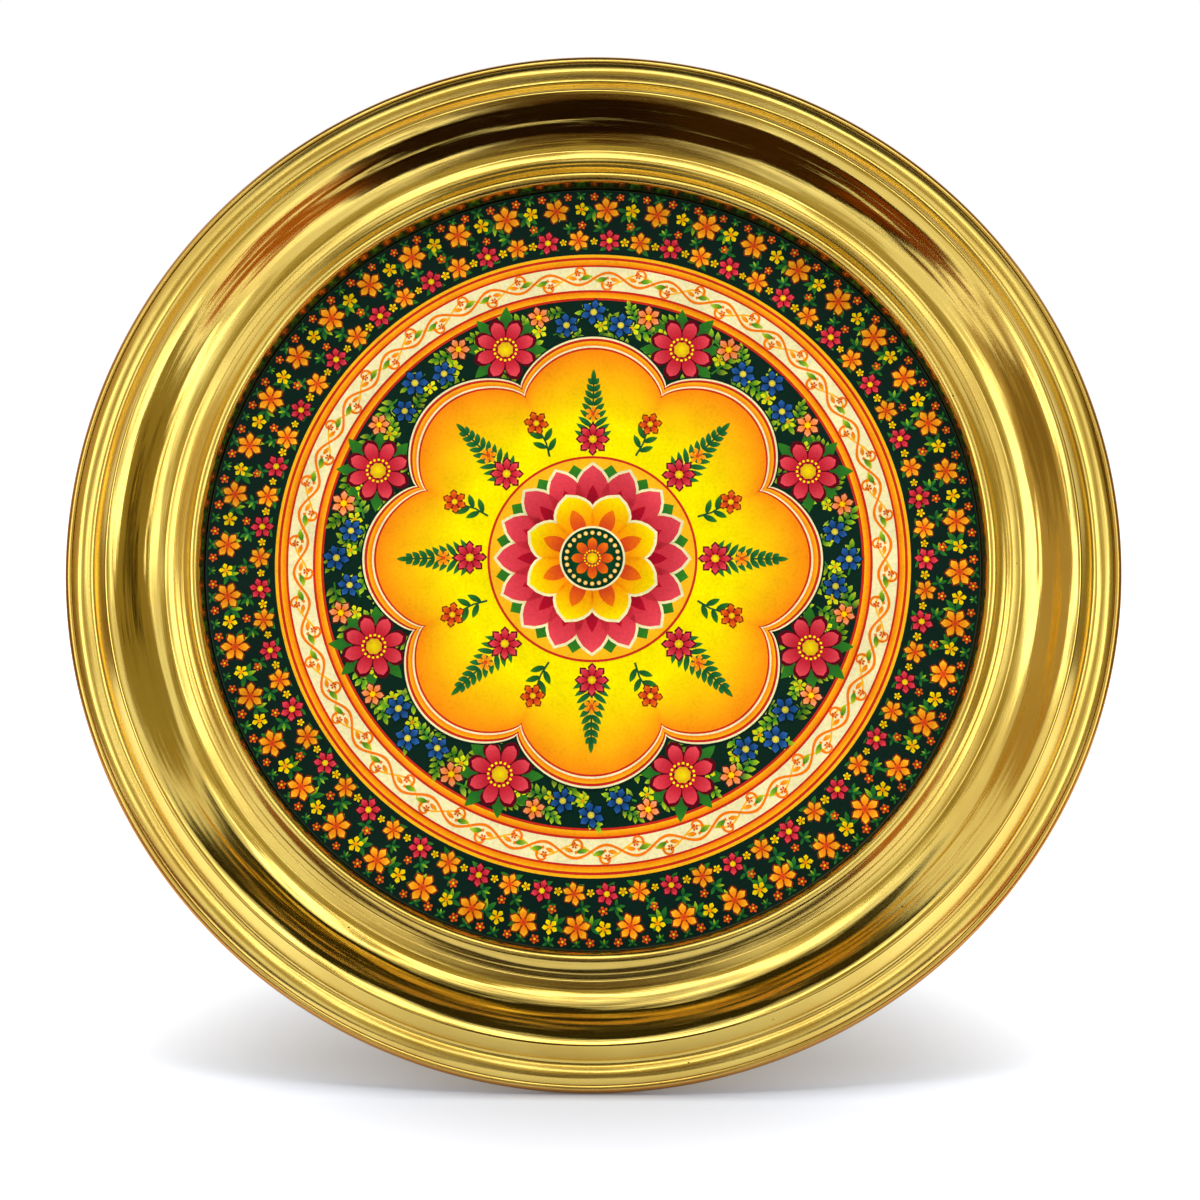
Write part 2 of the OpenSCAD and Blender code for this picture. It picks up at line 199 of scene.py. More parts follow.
def makeSpunBrass():
    # CZ108 brass sheet, spun on a lathe, buffed and lacquered: mirror-like, wavy where the roller went, finely lined
    f = spunFinish
    material, tree = newMaterial("Spun lacquered brass")
    place = plateCoordinates(tree)
    flat = addNode(tree, "ShaderNodeVectorMath", {0: place, 1: (1, 0, 1)}, operation="MULTIPLY")
    radius = addNode(tree, "ShaderNodeVectorMath", {0: flat.outputs[0]}, operation="LENGTH")
    # turned lines lie about 0.5 mm apart and fade in and out round the plate
    lines = addNode(tree, "ShaderNodeTexNoise", {
        "Vector": ringCoordinates(tree, place, 1.2, 1.0), "Scale": 2.0, "Detail": 3.0, "Roughness": 0.65,
    })
    # waves that the roller leaves are about 8 mm across and 90 mm long
    waves = addNode(tree, "ShaderNodeTexNoise", {
        "Vector": ringCoordinates(tree, place, 1.7, 0.12), "Scale": 1.0, "Detail": 2.0, "Roughness": 0.4,
    })
    # pits and specks under the lacquer, about 0.5 mm wide and 12 mm apart
    pits = addNode(tree, "ShaderNodeTexVoronoi", {"Vector": place, "Scale": 0.08})
    pitShape = addNode(tree, "ShaderNodeMapRange", {
        "Value": pits.outputs["Distance"], "From Min": 0.01, "From Max": 0.03,
    })
    # the back is buffed less than the face
    facing = addNode(tree, "ShaderNodeNewGeometry")
    backwards = addNode(tree, "ShaderNodeVectorMath", {
        0: facing.outputs["True Normal"], 1: plateFrame.to_3x3() @ Vector((0, 1, 0))}, operation="DOT_PRODUCT")
    back = addNode(tree, "ShaderNodeMapRange", {
        "Value": backwards.outputs["Value"], "From Min": 0.1, "From Max": 0.4,
    })
    lineBump = addNode(tree, "ShaderNodeBump", {
        "Height": lines.outputs[0], "Strength": 1.0, "Distance": f["lineDepth"] * mm,
    })
    # the sheet's middle is clamped to the chuck, so the roller's waves fade towards it
    waveReach = addNode(tree, "ShaderNodeMapRange", {
        "Value": radius.outputs["Value"], "From Min": f["waveZone"][0], "From Max": f["waveZone"][1],
    })
    waveBump = addNode(tree, "ShaderNodeBump", {
        "Height": waves.outputs[0], "Strength": waveReach.outputs[0], "Distance": f["waveDepth"] * mm,
        "Normal": lineBump.outputs[0],
    })
    pitBump = addNode(tree, "ShaderNodeBump", {
        "Height": pitShape.outputs[0], "Strength": 0.5, "Distance": f["pitDepth"] * mm, "Normal": waveBump.outputs[0],
    })
    roughness = addNode(tree, "ShaderNodeMapRange", {
        "Value": lines.outputs[0], "From Min": 0.3, "From Max": 0.7,
        "To Min": f["polished"][0], "To Max": f["polished"][1],
    })
    rougher = addNode(tree, "ShaderNodeMath", {
        0: back.outputs[0], 1: f["backRougher"], 2: roughness.outputs[0]}, operation="MULTIPLY_ADD")
    # the shoulder and the cove are buffed brightest; the rim's mouldings and the band beside the lip stay brushed
    rimBrushed = addNode(tree, "ShaderNodeMapRange", {
        "Value": radius.outputs["Value"], "From Min": f["rimZone"][0], "From Max": f["rimZone"][1],
        "To Max": f["brushedRougher"],
    })
    bandBrushed = addNode(tree, "ShaderNodeMapRange", {
        "Value": radius.outputs["Value"], "From Min": f["bandZone"][0], "From Max": f["bandZone"][1],
        "To Min": f["brushedRougher"], "To Max": 0.0,
    })
    brushed = addNode(tree, "ShaderNodeMath", {0: rimBrushed.outputs[0], 1: bandBrushed.outputs[0]}, operation="ADD")
    finish = addNode(tree, "ShaderNodeMath", {0: rougher.outputs[0], 1: brushed.outputs[0]}, operation="ADD")
    bright = brassColour(tree, f["clean"], f["dull"], place, 0.03, 0.7)
    aged = addNode(tree, "ShaderNodeMix", {0: back.outputs[0], 6: bright, 7: linear(f["back"])}, data_type="RGBA")
    # painted reflection and shade: the hem's outer edge is tinted copper brown, standing in for the shadowed floor that
    # the rolled edge mirrors
    hemShade = addNode(tree, "ShaderNodeMapRange", {
        "Value": radius.outputs["Value"], "From Min": f["hemShadeZone"][0], "From Max": f["hemShadeZone"][1],
        "To Max": 0.8,
    })
    edged = addNode(tree, "ShaderNodeMix", {
        0: hemShade.outputs[0], 6: aged.outputs[2], 7: linear(f["hemShade"])}, data_type="RGBA")
    speckled = addNode(tree, "ShaderNodeMix", {
        0: pitShape.outputs[0], 6: linear(f["speck"]), 7: edged.outputs[2]}, data_type="RGBA")
    shader = addNode(tree, "ShaderNodeBsdfPrincipled", {
        "Base Color": speckled.outputs[2],
        "Metallic": 1.0,
        "Roughness": finish.outputs[0],
        "Normal": pitBump.outputs[0],
    })
    finishMaterial(tree, shader)
    return material


def makeSatinBrass(name, clean, dull, rough, grain):
    # stamped half-hard brass, tumbled after stamping and left without polish: satin with a fine grain
    material, tree = newMaterial(name)
    place = plateCoordinates(tree)
    stretched = addNode(tree, "ShaderNodeVectorMath", {0: place, 1: grain}, operation="MULTIPLY")
    lines = addNode(tree, "ShaderNodeTexNoise", {"Vector": stretched.outputs[0], "Scale": 1.0, "Detail": 4.0})
    bump = addNode(tree, "ShaderNodeBump", {"Height": lines.outputs[0], "Strength": 0.3, "Distance": 0.05 * mm})
    roughness = addNode(tree, "ShaderNodeMapRange", {
        "Value": lines.outputs[0], "From Min": 0.3, "From Max": 0.7, "To Min": rough - 0.05, "To Max": rough + 0.08,
    })
    shader = addNode(tree, "ShaderNodeBsdfPrincipled", {
        "Base Color": brassColour(tree, clean, dull, place, 0.05, 0.5),
        "Metallic": 1.0,
        "Roughness": roughness.outputs[0],
        "Normal": bump.outputs[0],
    })
    finishMaterial(tree, shader)
    return material


def makePaint():
    # enamel colours laid on by brush, then a clear gloss lacquer flowed over the whole picture
    material, tree = newMaterial("Hand-laid enamel under clear lacquer")
    place = plateCoordinates(tree)
    colour = addNode(tree, "ShaderNodeAttribute", attribute_name="paint")
    # brush marks are about 0.8 mm wide
    marks = addNode(tree, "ShaderNodeTexNoise", {"Vector": place, "Scale": 1.1, "Detail": 4.0, "Roughness": 0.6})
    shade = addNode(tree, "ShaderNodeMapRange", {
        "Value": marks.outputs[0], "From Min": 0.3, "From Max": 0.7, "To Min": 0.88, "To Max": 1.08,
    })
    clouds = addNode(tree, "ShaderNodeTexNoise", {"Vector": place, "Scale": 0.12, "Detail": 3.0})
    deep = addNode(tree, "ShaderNodeMapRange", {
        "Value": clouds.outputs[0], "From Min": 0.3, "From Max": 0.7, "To Min": 0.9, "To Max": 1.06,
    })
    both = addNode(tree, "ShaderNodeMath", {0: shade.outputs[0], 1: deep.outputs[0]}, operation="MULTIPLY")
    toned = addNode(tree, "ShaderNodeVectorMath", {
        0: colour.outputs["Color"], "Scale": both.outputs[0]}, operation="SCALE")
    bump = addNode(tree, "ShaderNodeBump", {"Height": marks.outputs[0], "Strength": 0.25, "Distance": 0.06 * mm})
    shader = addNode(tree, "ShaderNodeBsdfPrincipled", {
        "Base Color": toned.outputs[0],
        "Roughness": 0.5,
        "Specular IOR Level": 0.0,
        "Coat Weight": 0.12,
        "Coat Roughness": 0.08,
        "Coat IOR": 1.4,
        "Normal": bump.outputs[0],
    })
    finishMaterial(tree, shader)
    return material


def makeGround():
    # the disc's own coat of baked enamel, which shows only at its edge
    material, tree = newMaterial("Baked enamel ground")
    noise = addNode(tree, "ShaderNodeTexNoise", {"Vector": plateCoordinates(tree), "Scale": 0.3, "Detail": 5.0})
    tone = addNode(tree, "ShaderNodeMix", {
        0: noise.outputs[0], 6: linear("#0E3B2E"), 7: linear("#15282A"),
    }, data_type="RGBA")
    shader = addNode(tree, "ShaderNodeBsdfPrincipled", {
        "Base Color": tone.outputs[2], "Roughness": 0.45, "Specular IOR Level": 0.2, "Coat Weight": 0.3,
    })
    finishMaterial(tree, shader)
    return material


def makePlainMaterial(name, light, dark, rough, scale, metallic=0.0):
    # a matt or dull material that is hardly seen, with a soft mottle and a slight tooth
    material, tree = newMaterial(name)
    place = plateCoordinates(tree)
    noise = addNode(tree, "ShaderNodeTexNoise", {"Vector": place, "Scale": scale, "Detail": 4.0})
    tone = addNode(tree, "ShaderNodeMix", {0: noise.outputs[0], 6: linear(light), 7: linear(dark)}, data_type="RGBA")
    bump = addNode(tree, "ShaderNodeBump", {"Height": noise.outputs[0], "Strength": 0.4, "Distance": 0.1 * mm})
    shader = addNode(tree, "ShaderNodeBsdfPrincipled", {
        "Base Color": tone.outputs[2], "Metallic": metallic, "Roughness": rough, "Normal": bump.outputs[0],
    })
    finishMaterial(tree, shader)
    return material


spunBrass = makeSpunBrass()
stampedBrass = makeSatinBrass("Tumbled stamped brass", "#CDAE62", "#A98645", 0.3, (3.0, 3.0, 0.4))
rivetBrass = makeSatinBrass("Turned rivet brass", "#D6B96E", "#B08E4E", 0.22, (2.0, 2.0, 2.0))
paint = makePaint()
ground = makeGround()
foam = makePlainMaterial("Closed-cell polyethylene foam", "#E4E3DC", "#C9C7BE", 0.85, 2.5)
wireSteel = makePlainMaterial("Drawn galvanised wire", "#A9A9A6", "#7C7B77", 0.4, 1.5, 1.0)
print("materials made")


def swell(slope):
    # the way a swelling surface faces at a slope, as a (radius, depth) direction
    return Vector((-math.sin(math.radians(slope)), -math.cos(math.radians(slope))))


def inwards(slope):
    return Vector((-math.cos(math.radians(slope)), math.sin(math.radians(slope))))


def arc(centre, radius, start, end, steps):
    return [centre + radius * swell(start + (end - start) * i / steps) for i in range(steps + 1)]


def plateProfile():
    # the spun sheet's section as (radius, depth) points: along the face, round the hem, and home along the back
    p = plate
    t = p["sheet"]
    corner = p["wellCorner"]
    hemSide, beadSide, ridgeOut, ridgeIn, cone, band, lipSide = p["slopes"]
    hem = p["hemDiameter"] / 2
    hemR = p["diameter"] / 2 - hem
    hemReach, hemTurn = hem - p["hemSeat"], math.radians(p["hemTurn"])
    sine = {slope: math.sin(math.radians(slope)) for slope in (hemSide, beadSide, ridgeOut)}
    ridgeR = hemR - hemReach * math.sin(hemTurn)
    ridgeR -= p["beadRadius"] * (sine[beadSide] - sine[hemSide])
    ridgeR -= p["hollowRadius"] * (sine[beadSide] - sine[ridgeOut])
    ridgeR -= p["ridgeSlope"] * math.cos(math.radians(ridgeOut)) - p["ridgeRadius"] * sine[ridgeOut]
    ridge = Vector((ridgeR, p["ridgeRadius"]))
    slopeEnd = ridge + p["ridgeRadius"] * swell(ridgeOut) - p["ridgeSlope"] * inwards(ridgeOut)
    hollow = slopeEnd + p["hollowRadius"] * swell(ridgeOut)
    bead = hollow - (p["hollowRadius"] + p["beadRadius"]) * swell(beadSide)
    beadEnd = bead + p["beadRadius"] * swell(hemSide)
    hemAt = Vector((hemR, beadEnd[1] + hemReach * math.cos(hemTurn)))
    shoulder = ridge - (p["shoulderRadius"] - p["ridgeRadius"]) * swell(ridgeIn)
    coneEnd = shoulder + p["shoulderRadius"] * swell(cone) + p["coneLength"] * inwards(cone)
    cove = coneEnd + p["coveRadius"] * swell(cone)
    bandStart = cove - p["coveRadius"] * swell(band)
    bandEnd = bandStart + p["bandLength"] * inwards(band)
    lip = bandEnd + p["lipSlope"] * inwards(lipSide) - p["lipRadius"] * swell(lipSide)
    well = Vector((lip[0] - p["lipRadius"] - p["wallRun"] - corner, p["wellDepth"] - corner))
    face = [Vector((p["pole"], p["wellDepth"]))]
    face += arc(well, -corner, 0, 90, 5)
    face += arc(lip, p["lipRadius"], 90, lipSide, 20)
    # the band beside the lip and the inner side of the cove carry fine turned lines and a few narrow grooves
    lineDepths, grooveHalf = p["lineDepths"], p["grooveHalf"]
    lined = {step * p["lineSpacing"]: lineDepths[step % len(lineDepths)] for step in range(p["lineCount"])}
    for middle in p["grooves"]:
        lined.update({middle - grooveHalf: 0.0, middle: p["grooveDepth"], middle + grooveHalf: 0.0})
    lineEnd = band + math.degrees((max(lined) - p["bandLength"]) / p["coveRadius"])
    for distance, depth in sorted(lined.items()):
        if distance < p["bandLength"]:
            place = bandEnd.lerp(bandStart, distance / p["bandLength"])
        else:
            turned = math.degrees((distance - p["bandLength"]) / p["coveRadius"])
            place = cove - p["coveRadius"] * swell(band + turned)
        face.append(place + Vector((0, depth)))
    face += arc(cove, -p["coveRadius"], lineEnd, cone, 9)[1:]
    coneStart = shoulder + p["shoulderRadius"] * swell(cone)
    face += [coneEnd.lerp(coneStart, i / 6) for i in range(1, 6)]
    face += arc(shoulder, p["shoulderRadius"], cone, ridgeIn, 8)
    face += arc(ridge, p["ridgeRadius"], ridgeIn, ridgeOut, 9)[1:]
    face += arc(hollow, -p["hollowRadius"], ridgeOut, beadSide, 12)
    face += arc(bead, p["beadRadius"], beadSide, hemSide - p["beadTuck"][0], 16)[1:]
    hemRound = arc(hemAt, hem, *p["hemRoll"], 24)
    back = arc(bead, p["beadRadius"] - t, hemSide - p["beadTuck"][1], beadSide, 8)
    back += arc(hollow, -p["hollowRadius"] - t, beadSide, ridgeOut, 7)
    back += arc(ridge, p["ridgeRadius"] - t, ridgeOut, ridgeIn, 2)
    back += arc(shoulder, p["shoulderRadius"] - t, ridgeIn, cone, 5)
    back += arc(cove, -p["coveRadius"] - t, cone, band, 10)
    back += [bandEnd - t * swell((lipSide + band) / 2)]
    back += arc(lip, p["lipRadius"] - t, lipSide, 90, 8)
    back += arc(well, -corner - t, 90, 0, 6)
    back += [Vector((p["pole"], p["wellDepth"] + t))]
    return face + hemRound + back


def openTree(name, inputs):
    # a geometry node tree and its input node, whose sockets are given as (name, kind) pairs
    tree = bpy.data.node_groups.new(name, "GeometryNodeTree")
    for label, kind in inputs:
        tree.interface.new_socket(label, in_out="INPUT", socket_type="NodeSocket" + kind)
    tree.interface.new_socket("Piece", in_out="OUTPUT", socket_type="NodeSocketGeometry")
    return tree, addNode(tree, "NodeGroupInput")


def closeTree(tree, geometry, material):
    real = addNode(tree, "GeometryNodeRealizeInstances", {0: geometry})
    painted = addNode(tree, "GeometryNodeSetMaterial", {"Geometry": real.outputs[0], "Material": material})
    addNode(tree, "NodeGroupOutput", {0: painted.outputs[0]})
    return tree


def makeLathe():
    # turns a profile, given as a mesh of edges, into a closed ring
    tree, given = openTree("Spinning lathe", (
        ("Profile", "Geometry"), ("Rim radius", "Float"), ("Turns", "Int"), ("Metal", "Material"),
    ))
    shift = addNode(tree, "ShaderNodeMath", {0: given.outputs["Rim radius"], 1: -1.0}, operation="MULTIPLY")
    inward = addNode(tree, "ShaderNodeCombineXYZ", {0: shift.outputs[0]})
    moved = addNode(tree, "GeometryNodeTransform", {
        "Geometry": given.outputs["Profile"], "Translation": inward.outputs[0],
    })
    section = addNode(tree, "GeometryNodeMeshToCurve", {0: moved.outputs[0]})
    path = addNode(tree, "GeometryNodeCurvePrimitiveCircle", {
        "Resolution": given.outputs["Turns"], "Radius": given.outputs["Rim radius"],
    })
    swept = addNode(tree, "GeometryNodeCurveToMesh", {"Curve": path.outputs[0], "Profile Curve": section.outputs[0]})
    smooth = addNode(tree, "GeometryNodeSetShadeSmooth", {"Geometry": swept.outputs[0]})
    return closeTree(tree, smooth.outputs[0], given.outputs["Metal"])


def runTree(name, mesh, tree, values):
    # runs a geometry node tree on a mesh and keeps the result as a plain mesh
    host = linkObject(name + " host", mesh)
    modifier = host.modifiers.new(tree.name, "NODES")
    modifier.node_group = tree
    for item in tree.interface.items_tree:
        if item.in_out == "INPUT" and item.name in values:
            modifier[item.identifier] = values[item.name]
    seen = host.evaluated_get(bpy.context.evaluated_depsgraph_get())
    result = bpy.data.meshes.new_from_object(seen)
    host.modifiers.remove(modifier)
    bpy.data.objects.remove(host)
    return result


def makeBrassPlate():
    profile = plateProfile()
    edges = [(i, i + 1) for i in range(len(profile) - 1)]
    mesh = bpy.data.meshes.new("plate profile")
    mesh.from_pydata([(r * mm, y * mm, 0) for r, y in profile], edges, [])
    turned = runTree("plate", mesh, lathe, {
        "Rim radius": plate["diameter"] / 2 * mm, "Turns": plate["turns"], "Metal": spunBrass,
    })
    turned.transform(plateFrame @ faceUp)
    piece = linkObject("spun_brass_plate", turned)
    turned.set_sharp_from_angle(angle=math.radians(32))
    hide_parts("brass_plate")
    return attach(piece, "plate")


lathe = makeLathe()
brassPlate = makeBrassPlate()
print("plate turned:", len(brassPlate.data.polygons), "faces")

# the picture is painted in flat layers, of which a higher covers a lower; sizes are millimetres from its middle
painting = {
    "edge": 113.0,
    "borderIn": 92.0,
    "bandIn": 82.0,
    "scrollWaves": 30,
    "fieldR": 52.0,
    "cusps": 8,
    "cuspRise": 11.0,
    "lotusR": 30.0,
    # outlines of leaves and of the lotus's petals and veins
    "slimLeaf": {"fullness": 0.9, "blunt": 0.9},
    "twigLeaf": {"fullness": 0.9, "blunt": 0.85, "steps": 3},
    "broadLeaf": {"fullness": 0.95, "blunt": 0.8},
    "lotusLeaf": {"fullness": 1.3, "blunt": 0.7, "steps": 8},
    "lotusPetal": {"fullness": 1.25, "blunt": 0.7, "steps": 10},
    "lotusVein": {"fullness": 1.1, "blunt": 0.8, "steps": 8},
}

# enamel colours in sRGB, then those of tips, shades and outlines
pigments = {
    "night": "#07301F",
    "ink": "#0E221C",
    "gold": "#FFB71A",
    "orange": "#F5780A",
    "red": "#C8281C",
    "crimson": "#B80F26",
    "rose": "#EC4A55",
    "cream": "#F4E8AC",
    "lemon": "#FFE800",
    "lime": "#B9CE1E",
    "leaf": "#357F1E",
    "deepLeaf": "#14532A",
    "navy": "#123A6B",
    "peach": "#F6A777",
    "honey": "#FFC928",
    "mustard": "#E8B400",
    "sunset": "#FF8A10",
    "cornflower": "#2C63A8",
    "fern": "#2E7D32",
    "rust": "#8A2A10",
    "brick": "#6A1A10",
    "garnet": "#7A0F22",
    "wine": "#5A0A18",
    "deepWine": "#4A0A14",
}
hue = SimpleNamespace(**{name: linear(value) for name, value in pigments.items()})


def newSheet():
    return {"points": [], "faces": [], "paint": []}


def addRows(sheet, rows, layer, colours):
    # a strip of quads through rows of points, each row with its colour
    first = len(sheet["points"])
    width = len(rows[0])
    for row, colour in zip(rows, colours):
        for place in row:
            sheet["points"].append((place[0], place[1], layer))
            sheet["paint"].append(colour)
    for i in range(len(rows) - 1):
        for k in range(width - 1):
            corner = first + i * width + k
            sheet["faces"].append((corner, corner + 1, corner + width + 1, corner + width))


def mixColour(one, two, share):
    return [a + (b - a) * share for a, b in zip(one, two)]


def addPetal(sheet, origin, angle, length, width, layer, base, tip, start=0.0, *, fullness, blunt, limit=None, steps=7):
    # a petal or leaf that points along angle, in degrees from straight up; fullness moves its widest place outwards
    turn = math.radians(angle)
    along, across = (math.sin(turn), math.cos(turn)), (math.cos(turn), -math.sin(turn))
    rows, colours = [], []
    for i in range(steps + 1):
        t = i / steps
        half = width / 2 * max(math.sin(math.pi * t ** fullness), 0.0) ** blunt
        distance = start + (length - start) * t
        if limit:
            half = min(half, distance * math.tan(math.radians(limit)))
        middle = (origin[0] + along[0] * distance, origin[1] + along[1] * distance)
        rows.append([(middle[0] + across[0] * half * side, middle[1] + across[1] * half * side) for side in (-1, 0, 1)])
        colours.append(mixColour(base, tip, t ** 1.7))
    addRows(sheet, rows, layer, colours)


def addDisc(sheet, origin, radius, layer, inner, outer, steps=14):
    rows = []
    for i in range(steps + 1):
        angle = 2 * math.pi * i / steps
        rows.append([(origin[0] + math.sin(angle) * radius, origin[1] + math.cos(angle) * radius), origin])
    first = len(sheet["points"])
    addRows(sheet, rows, layer, [outer] * (steps + 1))
    for k in range(first + 1, len(sheet["points"]), 2):
        sheet["paint"][k] = inner


def addFlower(sheet, origin, radius, petals, layer, base, tip, heart, rim=None):
    # petals that meet along their sides, over a darker outline, round a dotted heart
    step = 360 / petals
    form = {"fullness": 1.5, "blunt": 0.55, "steps": 8 if radius > 5 else 3}
    if rim:
        addDisc(sheet, origin, radius * 0.72, layer, rim, rim)
        for k in range(petals):
            addPetal(sheet, origin, k * step, radius * 1.12, radius * 2.0 / petals ** 0.62,
                     layer + 0.1 + 0.02 * (k % 3), rim, rim, radius * 0.3, **form)
    for k in range(petals):
        addPetal(sheet, origin, k * step, radius, radius * 2.0 / petals ** 0.72, layer + 1, base, tip,
                 radius * 0.16, limit=step / 2 * 0.93, **form)
    addDisc(sheet, origin, radius * 0.27, layer + 2, mixColour(heart, base, 0.1), mixColour(heart, base, 0.5), 8)
    if radius > 5:
        for k in range(petals * 2):
            way = math.radians(k * step / 2)
            dot = (origin[0] + math.sin(way) * radius * 0.37, origin[1] + math.cos(way) * radius * 0.37)
            addDisc(sheet, dot, radius * 0.045, layer + 2.2, heart, heart, 6)


def addStem(sheet, places, width, layer, colour):
    rows = []
    for i, place in enumerate(places):
        before, after = places[max(i - 1, 0)], places[min(i + 1, len(places) - 1)]
        dx, dy = after[0] - before[0], after[1] - before[1]
        size = math.hypot(dx, dy) or 1.0
        half = width / 2 * (1.0 - 0.55 * i / len(places))
        rows.append([(place[0] - dy / size * half, place[1] + dx / size * half),
                     (place[0] + dy / size * half, place[1] - dx / size * half)])
    addRows(sheet, rows, layer, [colour] * len(rows))


def addBand(sheet, inner, outer, layer, inside, outside, steps=480):
    # a ring between two outlines, each a radius or a function of the angle
    reach = [edge if callable(edge) else (lambda angle, edge=edge: edge) for edge in (outer, inner)]
    first = len(sheet["points"])
    rows = []
    for i in range(steps + 1):
        angle = 2 * math.pi * i / steps
        rows.append([(math.sin(angle) * edge(angle), math.cos(angle) * edge(angle)) for edge in reach])
    addRows(sheet, rows, layer, [outside] * (steps + 1))
    for k in range(first + 1, len(sheet["points"]), 2):
        sheet["paint"][k] = inside


def meshOf(sheet, name):
    mesh = bpy.data.meshes.new(name)
    mesh.from_pydata([(x * mm, y * mm, z * picture["layer"] * mm) for x, y, z in sheet["points"]], [], sheet["faces"])
    layer = mesh.attributes.new("paint", "FLOAT_COLOR", "POINT")
    layer.data.foreach_set("color", [v for colour in sheet["paint"] for v in colour])
    return mesh


def makeRingTree():
    # sets copies of a painted motif round a circle, each a little different in size, turn and shade
    tree, given = openTree("Ring of motifs", (
        ("Motif", "Geometry"), ("Count", "Int"), ("Radius", "Float"), ("Phase", "Float"), ("Turn", "Float"),
        ("Size", "Float"), ("Size spread", "Float"), ("Turn spread", "Float"), ("Shade spread", "Float"),
        ("Seed", "Int"), ("Paint", "Material"),
    ))

    def spread(name, middle, extra):
        half = addNode(tree, "ShaderNodeMath", {0: given.outputs[name], 1: -1.0}, operation="MULTIPLY")
        seed = addNode(tree, "ShaderNodeMath", {0: given.outputs["Seed"], 1: float(extra)}, operation="ADD")
        chance = addNode(tree, "FunctionNodeRandomValue", {
            "Min": half.outputs[0], "Max": given.outputs[name], "Seed": seed.outputs[0]}, data_type="FLOAT")
        return addNode(tree, "ShaderNodeMath", {0: middle, 1: chance.outputs[1]}, operation="ADD").outputs[0]

    line = addNode(tree, "GeometryNodeMeshLine", {"Count": given.outputs["Count"]})
    index = addNode(tree, "GeometryNodeInputIndex")
    share = addNode(tree, "ShaderNodeMath", {0: index.outputs[0], 1: given.outputs["Phase"]}, operation="ADD")
    part = addNode(tree, "ShaderNodeMath", {0: share.outputs[0], 1: given.outputs["Count"]}, operation="DIVIDE")
    angle = addNode(tree, "ShaderNodeMath", {0: part.outputs[0], 1: 2 * math.pi}, operation="MULTIPLY")
    sine = addNode(tree, "ShaderNodeMath", {0: angle.outputs[0]}, operation="SINE")
    cosine = addNode(tree, "ShaderNodeMath", {0: angle.outputs[0]}, operation="COSINE")
    way = addNode(tree, "ShaderNodeCombineXYZ", {0: sine.outputs[0], 1: cosine.outputs[0]})
    place = addNode(tree, "ShaderNodeVectorMath", {
        0: way.outputs[0], "Scale": given.outputs["Radius"]}, operation="SCALE")
    points = addNode(tree, "GeometryNodeSetPosition", {"Geometry": line.outputs[0], "Position": place.outputs[0]})
    turned = addNode(tree, "ShaderNodeMath", {0: spread("Turn spread", given.outputs["Turn"], 1), 1: angle.outputs[0]},
                     operation="SUBTRACT")
    rotation = addNode(tree, "ShaderNodeCombineXYZ", {2: turned.outputs[0]})
    copies = addNode(tree, "GeometryNodeInstanceOnPoints", {
        "Points": points.outputs[0], "Instance": given.outputs["Motif"], "Rotation": rotation.outputs[0],
        "Scale": spread("Size spread", given.outputs["Size"], 2),
    })
    shaded = addNode(tree, "GeometryNodeStoreNamedAttribute", {
        "Geometry": copies.outputs[0], "Name": "shade", "Value": spread("Shade spread", 1.0, 3),
    }, data_type="FLOAT", domain="INSTANCE")
    return closeTree(tree, shaded.outputs[0], given.outputs["Paint"])


def addRing(sheet, motif, count, radius, phase, turn, size, sizeSpread, turnSpread, shade, seed):
    # runs the tree on a motif and adds the painted ring to the sheet; a spread is the most that a copy differs by
    result = runTree("motif", meshOf(motif, "motif"), ringTree, {
        "Count": count, "Radius": radius * mm, "Phase": phase, "Turn": math.radians(turn), "Size": size,
        "Size spread": sizeSpread, "Turn spread": math.radians(turnSpread), "Shade spread": shade, "Seed": seed,
        "Paint": paint,
    })
    first = len(sheet["points"])
    layers = [point[2] for point in motif["points"]]
    shades = [item.value for item in result.attributes["shade"].data]
    for k, (vertex, colour) in enumerate(zip(result.vertices, result.attributes["paint"].data)):
        sheet["points"].append((vertex.co[0] / mm, vertex.co[1] / mm, layers[k % len(layers)]))
        sheet["paint"].append([v * shades[k] for v in colour.color[:3]] + [1.0])
    sheet["faces"] += [tuple(first + v for v in face.vertices) for face in result.polygons]
    bpy.data.meshes.remove(result)


def paintRules(sheet):
    # grounds and ruled lines, from the rim inwards
    borderIn, bandIn = painting["borderIn"], painting["bandIn"]
    addBand(sheet, 0.01, painting["edge"], 1, hue.night, hue.ink)
    for inner, outer, inside, outside in (
        (borderIn, borderIn + 0.9, hue.gold, hue.gold), (borderIn - 0.8, borderIn, hue.red, hue.red),
        (borderIn - 2.4, borderIn - 0.8, hue.orange, hue.gold), (borderIn - 3.0, borderIn - 2.4, hue.red, hue.red),
        (bandIn - 0.2, borderIn - 3.0, hue.cream, hue.cream), (bandIn - 0.9, bandIn - 0.2, hue.red, hue.red),
        (bandIn - 2.6, bandIn - 0.9, hue.gold, hue.orange), (bandIn - 3.3, bandIn - 2.6, hue.red, hue.red),
    ):
        addBand(sheet, inner, outer, 2, inside, outside)


